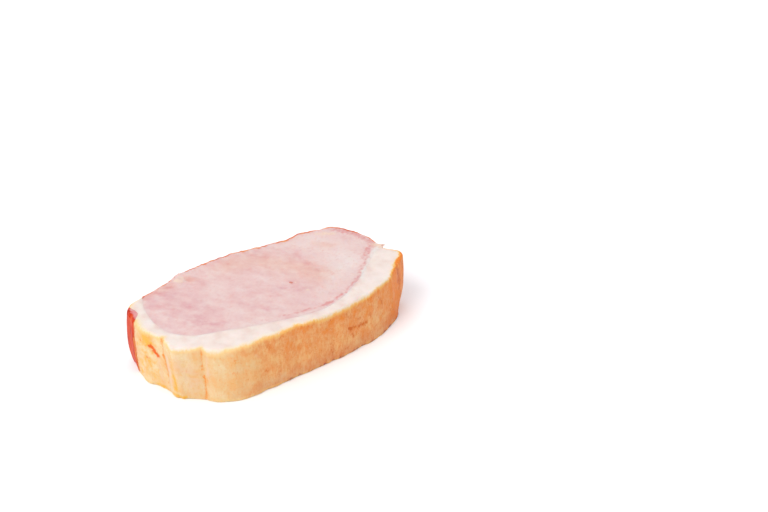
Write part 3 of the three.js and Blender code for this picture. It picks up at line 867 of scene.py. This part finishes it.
def fat_material():
    """Cream-white waxy fat on the cut faces, faintly clouded and pinker next to the lean. Past a
    ragged yellow rim it becomes rind: golden to tan by the smoke, in clouds and blotches with
    short upright streaks and pores, raw scars, golden stains and paler patches. Painted shade
    darkens it towards the foot, a thin line of painted contact shade lies along the foot, and a
    painted highlight lies beside one crease."""
    material, tree, shader = meat("back fat and rind", scatter=2, shine=0.18)
    place = node(tree, "ShaderNodeTexCoord").outputs["Object"]
    wall = attribute(tree, "wall", "Vector")
    clouds = grain(tree, place, 6, detail=4)
    fat = ramp(tree, clouds, {0.32: "#d4c0b6", 0.48: "#d8cac1", 0.66: "#dcd1c9"})
    pinker = ease(tree, swing(tree, attribute(tree, "from_lean"), clouds, 3), 1.6, 0)
    fat = mix(tree, sums(tree, "MULTIPLY", pinker, 0.4), fat, "#d2b0a9")

    streaks = grain(tree, wall, 1.3, stretch=(1, 2.6, 1), detail=4, roughness=0.7)
    bands = grain(tree, wall, 4.5, stretch=(1, 2.2, 1), detail=3)
    patches = grain(tree, wall, 7, detail=5, roughness=0.6)
    blotches = grain(tree, wall, 2, stretch=(1, 1.4, 1), detail=4, roughness=0.65)
    flecks = grain(tree, wall, 0.9, stretch=(1, 1.8, 1), detail=3, roughness=0.65)
    pores = grain(tree, wall, 0.6, detail=2)
    height = node(tree, "ShaderNodeSeparateXYZ", {0: wall}).outputs["Y"]
    height = sums(tree, "MULTIPLY", height, 1000)

    level = attribute(tree, "smoke")
    smoke = swing(tree, level, bands, 0.45)
    smoke = swing(tree, smoke, patches, 0.75)
    smoke = swing(tree, smoke, streaks, sums(tree, "MULTIPLY", level, 1.5))
    smoke = swing(tree, smoke, pores, 0.2)
    # Over the span of the painted shade at the foot, the smoke also browns upwards from the middle.
    upwards = sums(tree, "MULTIPLY", attribute(tree, "foot_shade_and_browning"), 0.008)
    above_middle = sums(tree, "SUBTRACT", height, THICKNESS / 2)
    smoke = sums(tree, "MULTIPLY_ADD", above_middle, upwards, smoke)
    stops = {
        0: "#dbc69c", 0.22: "#d8b584", 0.42: "#dba86d",
        0.62: "#d8955a", 0.82: "#d8823a", 1: "#da7a24",
    }
    rind = ramp(tree, smoke, stops)
    dabs = sums(tree, "MULTIPLY", ease(tree, blotches, 0.53, 0.68), level)
    rind = mix(tree, sums(tree, "MULTIPLY", dabs, 0.6), rind, "#c86e30")
    specks = sums(tree, "MULTIPLY", ease(tree, flecks, 0.58, 0.7), ease(tree, level, 0.45, 0.75))
    rind = mix(tree, sums(tree, "MULTIPLY", specks, 0.75), rind, "#bf5c24")
    gold = ease(tree, swing(tree, attribute(tree, "golden"), blotches, 2.4), 0.1, 1.1)
    rind = mix(tree, gold, rind, "#dea94a")
    brown = ease(tree, swing(tree, attribute(tree, "brown"), flecks, 2.2), 0.1, 1.2)
    rind = mix(tree, brown, rind, mix(tree, ease(tree, level, 0.25, 0.6), "#dc8e42", "#c4621f"))
    # Paler patches of the rind, among them the painted highlight beside the crease at 60 mm.
    pale_and_highlight = ease(tree, swing(tree, attribute(tree, "brown"), blotches, 1), -0.1, -0.9)
    rind = mix(tree, pale_and_highlight, rind, "#d8b898")
    raw = ease(tree, swing(tree, attribute(tree, "raw"), flecks, 2.2), 0.1, 1.15)
    rind = mix(tree, raw, rind, mix(tree, ease(tree, level, 0.25, 0.8), "#d8601e", "#b64e0e"))
    # Painted shade: the rind is darkened, lavender-grey, towards its foot, below about ten
    # millimetres up.
    foot_shade_and_browning = ease(tree, swing(tree, height, patches, -8), 10, 1)
    foot_shade_and_browning = sums(tree, "MULTIPLY", foot_shade_and_browning, attribute(tree, "foot_shade_and_browning"))
    rind = mix(tree, foot_shade_and_browning, rind, mix(tree, 1, rind, "#f4e6ee", "MULTIPLY"))
    # Painted contact shade: a thin purple-brown line along the very foot.
    foot = ease(tree, swing(tree, height, bands, -5), 1, 0.3)
    foot = sums(tree, "MULTIPLY", foot, ease(tree, attribute(tree, "foot_shade_and_browning"), 0.5, 1.2))
    rind = mix(tree, foot, rind, "#8b4a55")

    past = attribute(tree, "past_white")
    past = swing(tree, past, streaks, 3.4)
    past = swing(tree, past, bands, 2)
    fringe = sums(tree, "DIVIDE", past, attribute(tree, "rim_width"))
    honey = mix(tree, ease(tree, level, 0.2, 0.7), "#dfbf86", "#e0ae5c")
    rim = mix(tree, ease(tree, fringe, -0.3, 0.6), "#ddd0b2", honey)
    rim = mix(tree, ease(tree, fringe, 0.3, 1.3), rim, rind)
    tint = mix(tree, ease(tree, fringe, -0.8, 0.4), fat, rim)

    gloss = swing(tree, 0.45, patches, 0.25)
    relief = swing(tree, swing(tree, blotches, streaks, 0.6), pores, 0.5)
    finish(tree, shader, tint, gloss, relief, 0.3)
    return material


def fat_cap():
    """The skin of the fat, from the rind to the seam with the eye, with its bed for the strip."""
    along = np.linspace(0, RIND_LINE[0][-1], CAP_STEPS["along"] + 1)
    across, up = steps(CAP_STEPS["across"], crowding=1.2), steps(CAP_STEPS["up"])
    (i, j, k), quads = box_skin((len(along), len(across), len(up)))
    way = along[i]
    radius = edge_radius(way)
    share = between(up[k], THICKNESS, radius, radius) / THICKNESS
    bed = np.maximum(strip_thickness(way) - STRIP["edge"] - OVERLAP, 0)
    turned = leaning(way, share)
    outer = beside(RIND_LINE, turned, rind_depth(way, share) + bed)
    inner = beside(SEAM_LINE, way * SEAM_LINE[0][-1] / RIND_LINE[0][-1], OVERLAP)
    in_bed = bed > 0
    points, from_rind, from_lean = layer(
        outer, inner, across[j], up[k], (np.where(in_bed, SEAM_EDGE, radius), SEAM_EDGE),
        shaved=lambda depth: np.where(in_bed, edge_drop(depth + bed, radius), 0),
    )

    from_rind = from_rind + bed
    height = points[:, 2]
    below_rim = np.clip(cut_height(*points[:, :2].T) - height, 0, CUT_REACH)
    above_foot = np.clip(height, 0, CUT_REACH)
    on_wall = np.stack([turned, height], axis=-1)
    past_white = np.minimum(
        below_rim - from_rind - np.interp(turned, WHITE_WAY, WHITE_END),
        above_foot - from_rind + FOOT_RIM,
    )
    from_end = np.minimum(way, RIND_LINE[0][-1] - way)
    smoked_end = np.minimum(np.minimum(below_rim, above_foot), END_SMOKE["stronger"])
    smoked_end = smoked_end + END_SMOKE["mark"] - END_SMOKE["fading"] * from_end
    from_lean = from_lean + OWN_FAT_CLEAR * marked(points[:, :2], OWN_FAT)
    marks = {
        "wall": np.stack([way, height, from_rind], axis=-1),
        "past_white": np.maximum(past_white, smoked_end),
        "rim_width": np.interp(way, RIM_WAY, RIM_WIDTH),
        "from_lean": np.where(in_bed, np.minimum(from_lean, from_rind - bed), from_lean),
        "smoke": np.interp(turned, SMOKE_WAY, SMOKE_LEVEL),
        # The span of the painted shade and contact shade at the foot, and of the browning upwards.
        "foot_shade_and_browning": rising(way, *FOOT_SHADE_FROM) * (1 - rising(way, *FOOT_SHADE_UNTIL)),
        "raw": marked(on_wall, RAW["marks"]),
        "golden": marked(on_wall, GOLDEN["marks"]),
        "brown": marked(on_wall, BROWN["marks"]),
    }
    return add_piece("fat_and_rind_skin", points, quads, marks, fat_material())


cap = fat_cap()
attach(cap, "root")
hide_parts("fat_cap")

# ---- The side strip ----
# A thin strip of another muscle, let into the fat at the left end and flush with the rind. It was
# in the smoke, so its outside is a satin dark red; its cut ends are pink.

STRIP_STEPS = {"along": 56, "across": 12, "up": 60}


def strip_material():
    """Orange-red smoked lean with darker patches and upright streaks, orange where it thins out at
    its two edges, and pink on the cut faces."""
    material, tree, shader = meat("smoked strip of lean", scatter=0.8, shine=0.06)
    wall = attribute(tree, "wall", "Vector")
    streaks = grain(tree, wall, 1.2, stretch=(1, 5, 1), detail=4)
    patches = grain(tree, wall, 4.5, stretch=(1, 1.8, 1), detail=4)
    flecks = grain(tree, wall, 1.3, detail=3)
    red = swing(tree, swing(tree, 0.5, streaks, 0.8), patches, 1.6)
    skin = ramp(tree, red, {0.15: "#a3240f", 0.5: "#c03a1a", 0.85: "#c95a36"})
    pink = ramp(tree, flecks, {0.3: "#c8787a", 0.7: "#cf9490"})
    inside = swing(tree, attribute(tree, "inside"), flecks, 1.6)
    tint = mix(tree, ease(tree, inside, 0.5, 1.9), skin, pink)
    thin = swing(tree, swing(tree, attribute(tree, "thickness"), flecks, 1.4), patches, 4)
    tint = mix(tree, ease(tree, thin, 1.4, 0.3), tint, "#cf7b3e")
    gloss = swing(tree, 0.4, patches, 0.2)
    finish(tree, shader, tint, gloss, streaks, 0.3)
    return material


def side_strip():
    """The skin of the strip, from the rind's own surface in to the strip's thickness, with its cut
    edges rounded like the rind's."""
    first, last = STRIP["from"] - STRIP["taper"], STRIP["to"] + STRIP["taper"]
    along = np.linspace(first, last, STRIP_STEPS["along"] + 1)
    across, up = steps(STRIP_STEPS["across"], crowding=1.5), steps(STRIP_STEPS["up"])
    (i, j, k), quads = box_skin((len(along), len(across), len(up)))
    way = along[i]
    radius = edge_radius(way)
    share = between(up[k], THICKNESS, radius, radius) / THICKNESS
    depth = rind_depth(way, share)
    thickness = strip_thickness(way)
    outer = beside(RIND_LINE, leaning(way, share), depth)
    inner = beside(RIND_LINE, leaning(way, share), depth + thickness)
    points, from_rind, _ = layer(
        outer, inner, across[j], up[k], (SEAM_EDGE, SEAM_EDGE),
        shaved=lambda depth: edge_drop(depth, radius),
    )
    marks = {
        "wall": np.stack([way, points[:, 2], from_rind], axis=-1),
        "inside": from_rind,
        "thickness": thickness,
    }
    return add_piece("side_strip_flesh", points, quads, marks, strip_material())


strip = side_strip()
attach(strip, "root")
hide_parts("side_strip")

# ---- The studio ----
# A white board under even white light from all round, with one large soft lamp high on the left,
# so that the slice shades the board on its right. The camera looks down on the slice at 34 degrees.

CAMERA_AT = (-149.75, -534.1, 417.9)
LOOKING = (0.296, 0.774, -0.559)
LENS = 70  # on a sensor 36 wide
BOARD = 3000  # from its middle to each side
BOARD_DROP = 0.1  # under the slice

corners = np.array([(-1, -1, 0), (1, -1, 0), (1, 1, 0), (-1, 1, 0)]) * BOARD - (0, 0, BOARD_DROP)
board = bpy.data.meshes.new("board")
board.from_pydata(corners / 1000, [], [(0, 1, 2, 3)])
board = bpy.data.objects.new("board", board)
bpy.context.scene.collection.objects.link(board)
white = bpy.data.materials.new("white board")
white.use_nodes = True
white.node_tree.nodes["Principled BSDF"].inputs["Base Color"].default_value = (0.93, 0.93, 0.93, 1)
white.node_tree.nodes["Principled BSDF"].inputs["Roughness"].default_value = 0.9
board.data.materials.append(white)

world = bpy.data.worlds.new("white room")
world.use_nodes = True
world.node_tree.nodes["Background"].inputs["Color"].default_value = (0.97, 0.96, 1, 1)
world.node_tree.nodes["Background"].inputs["Strength"].default_value = 1
bpy.context.scene.world = world

lamp = bpy.data.lights.new("soft lamp", "AREA")
lamp.shape = "DISK"
lamp.size = 0.9
lamp.energy = 14
lamp.color = (1, 0.98, 0.96)
lamp = bpy.data.objects.new("soft lamp", lamp)
lamp.location = (-0.9, -0.45, 1.35)
lamp.rotation_euler = (-lamp.location).to_track_quat("-Z", "Y").to_euler()
bpy.context.scene.collection.objects.link(lamp)

camera = bpy.data.cameras.new("camera")
camera.lens = LENS
camera.sensor_width = 36
camera.clip_start = 0.01
camera = bpy.data.objects.new("camera", camera)
camera.location = [c / 1000 for c in CAMERA_AT]
camera.rotation_euler = Vector(LOOKING).to_track_quat("-Z", "Y").to_euler()
bpy.context.scene.collection.objects.link(camera)
bpy.context.scene.camera = camera
bpy.context.scene.view_settings.view_transform = "Standard"
